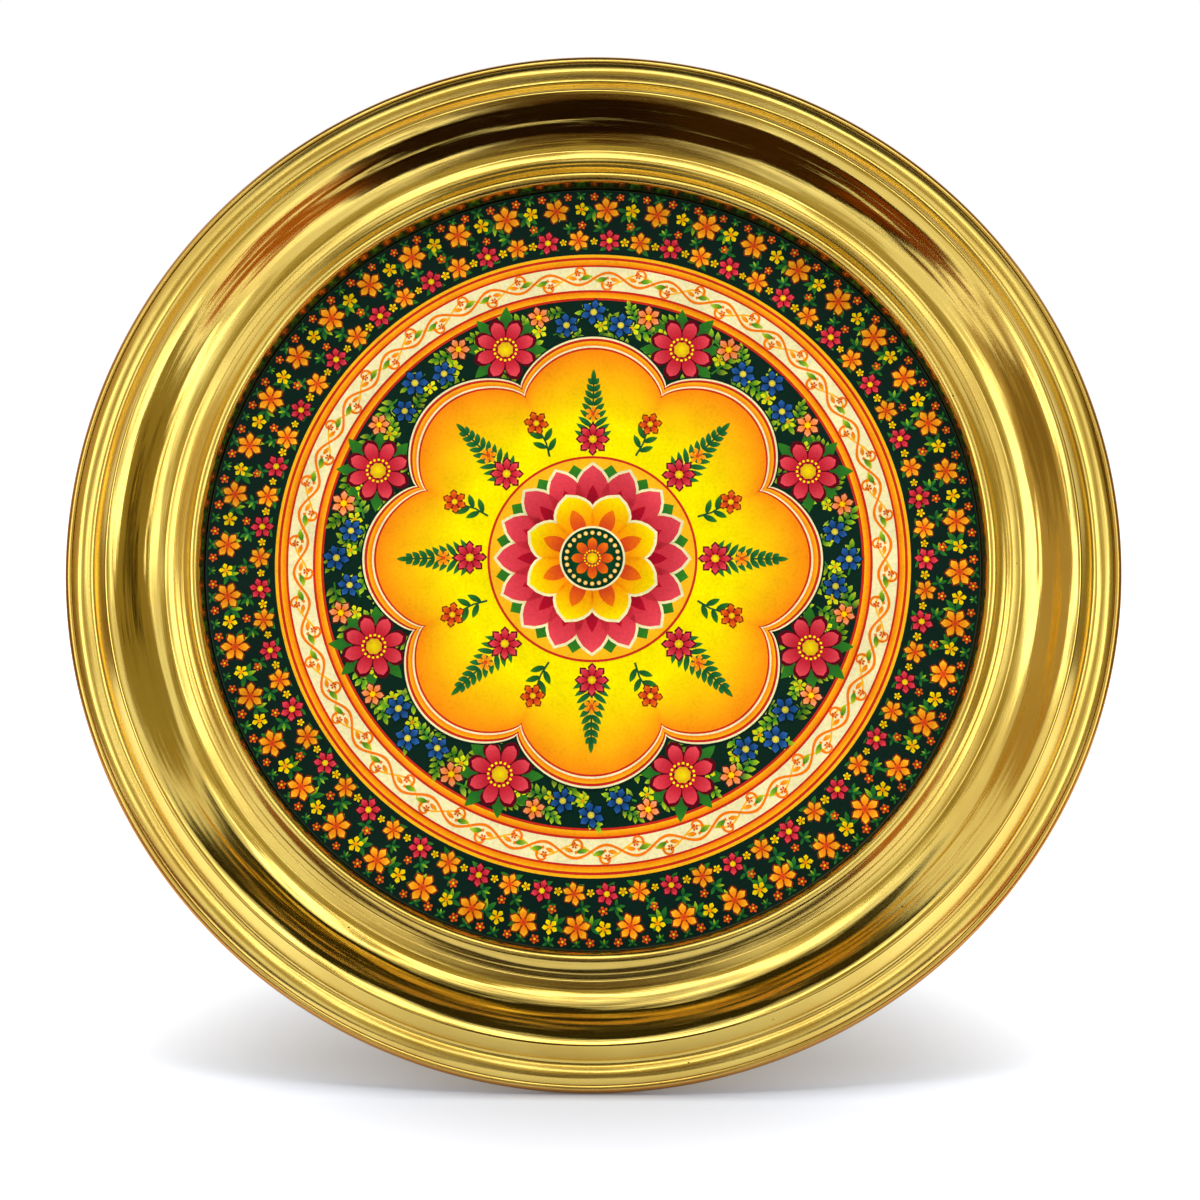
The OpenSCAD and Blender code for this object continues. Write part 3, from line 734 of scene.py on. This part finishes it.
def paintBorder(sheet):
    # rows of gold, crimson and yellow flowers with buds and leaves between them
    small, coral, star, bud, spray = (newSheet() for k in range(5))
    form = painting["slimLeaf"]
    addFlower(small, (0, 0), 3.6, 6, 4, hue.orange, hue.honey, hue.red, hue.rust)
    addFlower(coral, (0, 0), 3.3, 6, 4, hue.crimson, hue.rose, hue.lemon, hue.deepWine)
    addFlower(star, (0, 0), 2.3, 5, 4, hue.mustard, hue.lemon, hue.orange)
    addFlower(bud, (0, 0), 1.5, 5, 4, hue.red, hue.orange, hue.lemon)
    for side in (-1, 1):
        addPetal(spray, (0, 0), 42 * side, 3.8, 1.5, 3, hue.deepLeaf, hue.leaf, steps=4, **form)
        addPetal(spray, (0, 0), 118 * side, 3.4, 1.4, 3.2, hue.deepLeaf, hue.leaf, steps=4, **form)
    addPetal(spray, (0, 0), 0, 3.4, 1.2, 3.4, hue.leaf, hue.lime, steps=4, **form)
    addRing(sheet, spray, 66, 96.0, 0.5, 0, 1.0, 0.12, 14, 0.2, 3)
    addRing(sheet, spray, 66, 106.6, 0.0, 180, 1.0, 0.12, 14, 0.2, 4)
    addRing(sheet, spray, 66, 101.2, 0.25, 60, 0.7, 0.12, 30, 0.25, 5)
    addRing(sheet, spray, 88, 111.7, 0.5, 180, 0.5, 0.1, 12, 0.2, 33)
    for motif, count, radius, phase, size, seed in (
        (small, 44, 107.0, 0.25, 1.1, 6), (star, 44, 107.2, 0.75, 1.0, 7), (coral, 33, 97.4, 0.25, 1.0, 8),
        (small, 33, 97.4, 0.75, 0.9, 27), (star, 66, 97.0, 0.0, 0.55, 28), (bud, 44, 102.2, 0.75, 0.9, 29),
        (bud, 88, 111.1, 0.0, 0.9, 32),
    ):
        addRing(sheet, motif, count, radius, phase, 0, size, 0.07, 20, 0.12, seed)


def paintScroll(sheet):
    # on the cream band an orange scroll with leaves and buds
    middle = (painting["bandIn"] - 0.2 + painting["borderIn"] - 3.0) / 2
    waves, form = painting["scrollWaves"], painting["slimLeaf"]

    def scroll(sway, shift):
        return lambda t: middle + sway * math.sin(waves * t) + shift

    for sway, half, tone, layer in ((1.9, 0.42, hue.orange, 4), (-1.9, 0.28, hue.gold, 3)):
        addBand(sheet, scroll(sway, -half), scroll(sway, half), layer, tone, tone, 900)
    curl = newSheet()
    turns = [k * 0.35 for k in range(17)]
    spiral = [(math.sin(a) * (2.1 - a * 0.3), 1.0 - math.cos(a) * (2.1 - a * 0.3)) for a in turns]
    addStem(curl, spiral, 0.75, 3.5, hue.orange)
    addFlower(curl, spiral[-1], 0.95, 5, 4, hue.red, hue.orange, hue.gold)
    addPetal(curl, (0.4, -0.9), 75, 3.2, 1.3, 4, hue.leaf, hue.lime, **form)
    addPetal(curl, (-0.4, -0.9), -75, 2.6, 1.1, 4, hue.orange, hue.gold, **form)
    addRing(sheet, curl, waves, middle - 0.9, 0.25, 180, 1.15, 0.03, 3, 0.1, 9)
    addRing(sheet, curl, waves, middle + 0.9, 0.75, 0, 1.15, 0.03, 3, 0.1, 10)


def paintThicket(sheet):
    # on the night ground a thicket of leaves, then crimson, navy, peach and lime flowers
    twig, large, blue, warm, glint = (newSheet() for k in range(5))
    cusps, twigForm, form = painting["cusps"], painting["twigLeaf"], painting["broadLeaf"]
    addStem(twig, [(0.0, -4.5), (0.3, -2.0), (0.2, 0.6), (0.0, 3.0)], 0.5, 2.5, hue.leaf)
    for k, (y, side) in enumerate(((-3.2, 1), (-2.2, -1), (-0.8, 1), (0.2, -1), (1.5, 1), (2.2, -1))):
        base = hue.deepLeaf if k % 3 == 0 else hue.leaf
        addPetal(twig, (0.2, y), 52 * side, 3.6 - 0.2 * k, 1.7, 3 + 0.1 * k, base, hue.lime, **twigForm)
    addPetal(twig, (0.0, 2.6), 0, 3.2, 1.6, 3.7, hue.leaf, hue.lime, **twigForm)
    for count, radius, phase, turn, seed in (
        (40, 75.2, 0.0, 70, 11), (36, 70.5, 0.3, -60, 12), (32, 66.0, 0.6, 20, 13), (28, 61.0, 0.1, -20, 14),
        (16, 57.0, 0.5, 35, 15),
    ):
        addRing(sheet, twig, count, radius, phase, turn, 0.92, 0.16, 50, 0.3, seed)
    addFlower(large, (0, 0), 9.0, 8, 6, hue.crimson, hue.rose, hue.lemon, hue.wine)
    addPetal(large, (0, 0), 22.5, 13.5, 4.6, 4.5, hue.deepLeaf, hue.leaf, **form)
    for angle in (-22.5, 67.5, -67.5, 112.5, -112.5):
        addPetal(large, (0, 0), angle, 12.6, 4.4, 4.5 + angle * 0.001, hue.deepLeaf, hue.leaf, **form)
    addRing(sheet, large, cusps, 68.5, 0.5, 0, 1.0, 0.02, 4, 0.06, 16)
    addFlower(blue, (0, 0), 3.9, 6, 6, hue.navy, hue.cornflower, hue.lemon, hue.ink)
    for radius, phase, size, seed in ((74.9, 0.0, 1.0, 17), (71.3, 0.145, 0.95, 18), (71.3, -0.145, 0.95, 30)):
        addRing(sheet, blue, cusps, radius, phase, 0, size, 0.05, 25, 0.15, seed)
    addFlower(warm, (0, 0), 3.6, 6, 6, hue.orange, hue.peach, hue.lemon, hue.brick)
    for phase, seed in ((0.28, 19), (-0.28, 31)):
        addRing(sheet, warm, cusps, 75.0, phase, 0, 0.95, 0.08, 25, 0.12, seed)
    addFlower(glint, (0, 0), 2.5, 5, 3.8, hue.lime, hue.lemon, hue.orange)
    addRing(sheet, glint, 48, 70.8, 0.25, 0, 0.9, 0.12, 40, 0.15, 20)


def paintField(sheet):
    # the bright field in its cusped frame, with fronds and sprigs that each carry flowers
    lobes, rise, base, form = painting["cusps"], painting["cuspRise"], painting["fieldR"], painting["broadLeaf"]

    def cusped(extra):
        return lambda t: base + extra + rise * abs(math.cos(lobes / 2 * t)) ** 0.75

    addBand(sheet, 0.01, 40.0, 9, hue.lemon, hue.lemon, 960)
    addBand(sheet, 40.0, cusped(0.4), 9, hue.lemon, hue.sunset, 960)
    for inner, outer, inside, outside in (
        (4.3, 4.8, hue.ink, hue.ink), (3.7, 4.3, hue.cream, hue.cream), (2.9, 3.7, hue.red, hue.red),
        (1.5, 2.9, hue.orange, hue.gold), (0.9, 1.5, hue.cream, hue.cream), (0.3, 0.9, hue.red, hue.red),
    ):
        addBand(sheet, cusped(inner), cusped(outer), 10, inside, outside, 960)
    frond, sprig = newSheet(), newSheet()
    addStem(frond, [(0.0, -11.0), (0.0, -4.0), (0.0, 4.0), (0.0, 12.5)], 0.8, 10.5, hue.deepLeaf)
    for k in range(9):
        y = -8.0 + k * 2.2
        for side in (-1, 1):
            addPetal(frond, (0.0, y), (58 - 2.5 * k) * side, 6.6 - 0.5 * k, 1.7, 11 + 0.05 * k, hue.deepLeaf,
                     hue.fern, steps=5, **form)
    addPetal(frond, (0.0, 10.0), 0, 4.4, 1.5, 11.6, hue.deepLeaf, hue.leaf, **form)
    addFlower(frond, (0, -7.2), 4.6, 8, 12, hue.crimson, hue.rose, hue.lemon, hue.wine)
    addFlower(frond, (0, 0.6), 2.6, 6, 12, hue.orange, hue.gold, hue.red)
    addRing(sheet, frond, lobes, 43.0, 0.0, 0, 1.0, 0.02, 2, 0.06, 21)
    addStem(sprig, [(0.0, -6.0), (0.5, -2.0), (0.0, 3.0)], 0.6, 10.5, hue.deepLeaf)
    for y, side in ((-4.5, 1), (-3.5, -1), (-1.5, 1), (-0.5, -1)):
        addPetal(sprig, (0.3, y), 48 * side, 4.4, 1.7, 11 + y * 0.01, hue.deepLeaf, hue.leaf, steps=5, **form)
    addFlower(sprig, (0, 4.2), 3.2, 6, 12, hue.red, hue.orange, hue.lemon, hue.brick)
    addRing(sheet, sprig, lobes, 39.5, 0.5, 0, 1.05, 0.03, 3, 0.08, 22)


def paintLotus(sheet):
    # the rosette in the middle: two rings of petals round a dotted eye
    addDisc(sheet, (0, 0), painting["lotusR"] + 0.7, 13, hue.red, hue.red, 180)
    addDisc(sheet, (0, 0), painting["lotusR"], 14, hue.lemon, hue.gold, 180)
    outer, inner, behind, dot = (newSheet() for k in range(4))
    for motif, form, length, width, layer, base, tip, start in (
        (outer, "lotusPetal", 29.0, 11.2, 15, hue.cream, hue.cream, 8),
        (outer, "lotusPetal", 28.0, 10.0, 16, hue.crimson, hue.rose, 8),
        (outer, "lotusVein", 22.0, 4.0, 17, hue.garnet, hue.crimson, 9),
        (inner, "lotusPetal", 20.6, 12.4, 19, hue.cream, hue.cream, 5),
        (inner, "lotusPetal", 19.7, 11.2, 20, hue.orange, hue.lemon, 5),
        (inner, "lotusVein", 15.6, 4.4, 21, hue.red, hue.orange, 6),
        (behind, "lotusLeaf", 28.6, 7.0, 14.5, hue.deepLeaf, hue.leaf, 12),
    ):
        addPetal(motif, (0, 0), 0, length, width, layer, base, tip, start, **painting[form])
    for motif, count, phase, shade, seed in (
        (behind, 16, 0.5, 0.1, 23), (outer, 16, 0.0, 0.08, 24), (inner, 8, 0.5, 0.06, 25),
    ):
        addRing(sheet, motif, count, 0.0, phase, 0, 1.0, 0.0, 0, shade, seed)
    addDisc(sheet, (0, 0), 9.6, 22, hue.cream, hue.cream, 60)
    addDisc(sheet, (0, 0), 9.0, 23, hue.deepLeaf, hue.night, 60)
    addDisc(dot, (0, 0), 0.65, 24, hue.cream, hue.gold, 8)
    addRing(sheet, dot, 24, 7.6, 0.0, 0, 1.0, 0.0, 0, 0.0, 26)
    addFlower(sheet, (0, 0), 6.2, 8, 24, hue.red, hue.orange, hue.lemon)


ringTree = makeRingTree()
paintSheet = newSheet()
for paintZone in (paintRules, paintBorder, paintScroll, paintThicket, paintField, paintLotus):
    paintZone(paintSheet)
pictureMesh = meshOf(paintSheet, "painted medallion")
pictureMesh.materials.append(paint)
# the sheet's x is right and y is up the face; its layers stand towards the viewer
pictureMesh.transform(plateFrame @ Matrix.Translation((0, picture["face"] * mm, 0)) @ faceUp)
medallion = linkObject("painted_medallion", pictureMesh)
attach(medallion, "plate")
print("picture painted:", len(pictureMesh.polygons), "faces")

for node, material in (
    ("rim_wire", wireSteel), ("mounting_pad", foam), ("picture_disc", ground), ("hinge_bracket", stampedBrass),
    ("hinge_rivets", rivetBrass), ("hinge_pin", rivetBrass), ("strut_leg", stampedBrass),
    ("hanger_bracket", stampedBrass), ("hanger_rivets", rivetBrass), ("hanger_pin", rivetBrass),
    ("hanging_tab", stampedBrass),
):
    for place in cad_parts[node].material_slots:
        place.material = material
print("CAD nodes dressed")

# the camera stands where the photograph was taken from: distances in millimetres, angles in degrees
camera = {
    "distance": 700.0,
    "height": 8.53,
    "side": 0.9,
    "lens": 72.66,
    "aimDepth": 6.0,
    "shiftX": 0.0067,
    "shiftY": -0.0391,
}
viewer = bpy.data.objects.new("camera", bpy.data.cameras.new("camera"))
bpy.context.scene.collection.objects.link(viewer)
side, height = math.radians(camera["side"]), math.radians(camera["height"])
towards = Vector((math.sin(side) * math.cos(height), -math.cos(side) * math.cos(height), math.sin(height)))
aim = plateFrame @ Vector((0, camera["aimDepth"] * mm, 0))
viewer.location = aim + towards * camera["distance"] * mm
viewer.rotation_euler = towards.to_track_quat("Z", "Y").to_euler()
viewer.data.lens = camera["lens"]
viewer.data.sensor_width = 36
viewer.data.shift_x = camera["shiftX"]
viewer.data.shift_y = camera["shiftY"]
bpy.context.scene.camera = viewer

studio = {
    "floorSize": 9.0,
    # a cool grey paper, so that the floor round the plate's foot, where no glow lifts it, reads darker as painted
    # shade, and the shadow's warm bounce from the brass comes out grey
    "floorTone": "#D9DDE5",
    "skyLight": 0.4,  # strength of the white surroundings on matt surfaces; shiny ones and the camera see 1
    "farGlow": 0.75,
    "glowRun": (0.05, 0.19),  # distances from the plate between which the floor's glow rises from 0 to farGlow
    "softboxes": {
        # name: (middle, width, height, watts), in metres, all turned to the plate
        "overhead": ((0.0, 0.08, 1.4), 0.7, 0.6, 13.0),
        "rear": ((0.0, 0.7, 1.25), 0.7, 0.5, 4.5),
        "fill": ((0.25, -1.45, 0.32), 0.5, 0.5, 8.5),
    },
    "shadowless": "fill",
    "cards": {
        # name: (colour, strength, corners): what stands or lies round the plate in a real room
        "left window": ("#FFFFFF", 3.0, [
            (-0.93, -0.95, 0.45), (-0.62, -1.26, 0.45), (-0.62, -1.26, 1.15), (-0.93, -0.95, 1.15)]),
        "right window": ("#FFFFFF", 2.8, [
            (0.72, -1.24, 0.25), (1.0, -0.96, 0.25), (1.0, -0.96, 0.95), (0.72, -1.24, 0.95)]),
        "top light": ("#FFFFFF", 3.2, [
            (-0.3, -0.98, 1.12), (0.48, -0.98, 1.12), (0.48, -0.82, 1.36), (-0.3, -0.82, 1.36)]),
        "tripod": ("#4C3418", 1.0, [
            (-0.17, -0.78, 0.0), (0.15, -0.78, 0.0), (0.07, -0.8, 0.46), (-0.09, -0.8, 0.46)]),
        "cloth": ("#1D1006", 1.0, [
            (-0.1, -0.95, 0.003), (0.42, -0.95, 0.003), (0.17, -0.1, 0.003), (-0.06, -0.1, 0.003)]),
        "mat": ("#382208", 1.0, [
            (-0.6, -0.8, 0.004), (-0.08, -0.95, 0.004), (-0.055, -0.105, 0.004), (-0.44, -0.085, 0.004)]),
        "stool": ("#8A4210", 1.0, [
            (-0.56, -0.3, 0.006), (-0.2, -0.3, 0.006), (-0.2, -0.14, 0.006), (-0.5, -0.12, 0.006)]),
        "wood": ("#B4682A", 1.0, [
            (0.21, -0.4, 0.005), (0.66, -0.4, 0.005), (0.5, -0.08, 0.005), (0.17, -0.08, 0.005)]),
        "rear mat": ("#8C7F66", 1.0, [
            (-0.7, 0.2, 0.003), (0.1, 0.26, 0.003), (0.05, 0.9, 0.003), (-0.7, 0.9, 0.003)]),
        "ceiling": ("#332E18", 1.0, [
            (-0.8, -0.5, 1.35), (1.1, -0.5, 1.35), (1.1, 0.4, 1.35), (-0.8, 0.4, 1.35)]),
        "dusk": ("#BFB384", 1.0, [
            (-0.34, -1.25, 0.5), (0.38, -1.25, 0.5), (0.34, -1.05, 1.2), (-0.3, -1.05, 1.2)]),
        "lens hood": ("#5A4A28", 1.0, [
            (-0.07, -1.02, 0.72), (0.05, -1.02, 0.72), (0.05, -1.0, 0.8), (-0.07, -1.0, 0.8)]),
        "left wall": ("#BCA47C", 1.0, [
            (-0.95, -0.9, 0.0), (-1.1, 0.3, 0.0), (-1.1, 0.3, 1.1), (-0.95, -0.9, 1.1)]),
        "left dado": ("#8A744E", 1.0, [
            (-0.9, -0.5, 0.0), (-1.05, 0.3, 0.0), (-1.05, 0.3, 0.35), (-0.9, -0.5, 0.35)]),
        "right wall": ("#9A8B58", 1.0, [
            (0.95, -0.9, 0.0), (1.1, 0.3, 0.0), (1.1, 0.3, 1.1), (0.95, -0.9, 1.1)]),
        "doorway": ("#2B2210", 1.0, [
            (1.04, -0.22, 0.0), (1.05, 0.12, 0.0), (1.05, 0.12, 0.7), (1.04, -0.22, 0.7)]),
    },
}


def seenDirectly(tree):
    # 1 for the camera's own rays and for those that metal and glass send on, 0 for light on matt surfaces
    rays = addNode(tree, "ShaderNodeLightPath")
    direct = addNode(tree, "ShaderNodeMath", {
        0: rays.outputs["Is Camera Ray"], 1: rays.outputs["Is Glossy Ray"]}, operation="MAXIMUM")
    shown = addNode(tree, "ShaderNodeMath", {
        0: direct.outputs[0], 1: rays.outputs["Is Transmission Ray"]}, operation="MAXIMUM")
    return shown.outputs[0]


def makeFloor():
    mesh = bpy.data.meshes.new("floor")
    half = studio["floorSize"] / 2
    mesh.from_pydata([(-half, -half, 0), (half, -half, 0), (half, half, 0), (-half, half, 0)], [], [(0, 1, 2, 3)])
    floor = linkObject("studio_floor", mesh)
    material, tree = newMaterial("White paper floor")
    paper = addNode(tree, "ShaderNodeBsdfDiffuse", {"Color": linear(studio["floorTone"])})
    # the paper is lifted to white by a painted glow as it runs back, so that no horizon shows; the glow is left off
    # near the plate, so the floor round its foot shows the real shadow with painted shade from the unlifted paper over
    # it, and the glow washes out the shadow's outer parts
    spot = addNode(tree, "ShaderNodeTexCoord")
    away = addNode(tree, "ShaderNodeVectorMath", {0: spot.outputs["Object"]}, operation="LENGTH")
    lifted = addNode(tree, "ShaderNodeMapRange", {
        "Value": away.outputs["Value"], "From Min": studio["glowRun"][0], "From Max": studio["glowRun"][1],
        "To Max": studio["farGlow"],
    }, interpolation_type="SMOOTHSTEP")
    glow = addNode(tree, "ShaderNodeMath", {0: seenDirectly(tree), 1: lifted.outputs[0]}, operation="MULTIPLY")
    lift = addNode(tree, "ShaderNodeEmission", {"Color": (1, 1, 1, 1), "Strength": glow.outputs[0]})
    finishMaterial(tree, addNode(tree, "ShaderNodeAddShader", {0: paper.outputs[0], 1: lift.outputs[0]}))
    mesh.materials.append(material)


def makeSky():
    world = bpy.data.worlds.new("studio")
    bpy.context.scene.world = world
    world.use_nodes = True
    tree = world.node_tree
    tree.nodes.clear()
    strength = addNode(tree, "ShaderNodeMapRange", {
        "Value": seenDirectly(tree), "To Min": studio["skyLight"], "To Max": 1.0,
    })
    sky = addNode(tree, "ShaderNodeBackground", {"Color": (1, 1, 1, 1), "Strength": strength.outputs[0]})
    addNode(tree, "ShaderNodeOutputWorld", {"Surface": sky.outputs[0]})


def addCard(name, colour, glow, corners):
    # a card of one tone that only shiny surfaces show, so it darkens neither the floor nor the view from behind
    mesh = bpy.data.meshes.new(name)
    mesh.from_pydata(corners, [], [(0, 1, 2, 3)])
    card = linkObject(name, mesh)
    material, tree = newMaterial(name + " card")
    finishMaterial(tree, addNode(tree, "ShaderNodeEmission", {"Color": linear(colour), "Strength": glow}))
    mesh.materials.append(material)
    card.visible_camera = False
    card.visible_diffuse = False
    card.visible_shadow = False


def addSoftbox(name, middle, width, tall, watts):
    lamp = bpy.data.lights.new(name, "AREA")
    lamp.shape = "RECTANGLE"
    lamp.size = width
    lamp.size_y = tall
    lamp.energy = watts
    holder = bpy.data.objects.new(name + " softbox", lamp)
    bpy.context.scene.collection.objects.link(holder)
    holder.location = middle
    holder.rotation_euler = (Vector(middle) - plateMiddle).to_track_quat("Z", "Y").to_euler()
    holder.visible_glossy = False
    lamp.use_shadow = name != studio["shadowless"]


makeFloor()
makeSky()
for name, card in studio["cards"].items():
    addCard(name, *card)
for name, box in studio["softboxes"].items():
    addSoftbox(name, *box)
print("stage set")

bpy.context.scene.view_settings.view_transform = "Standard"
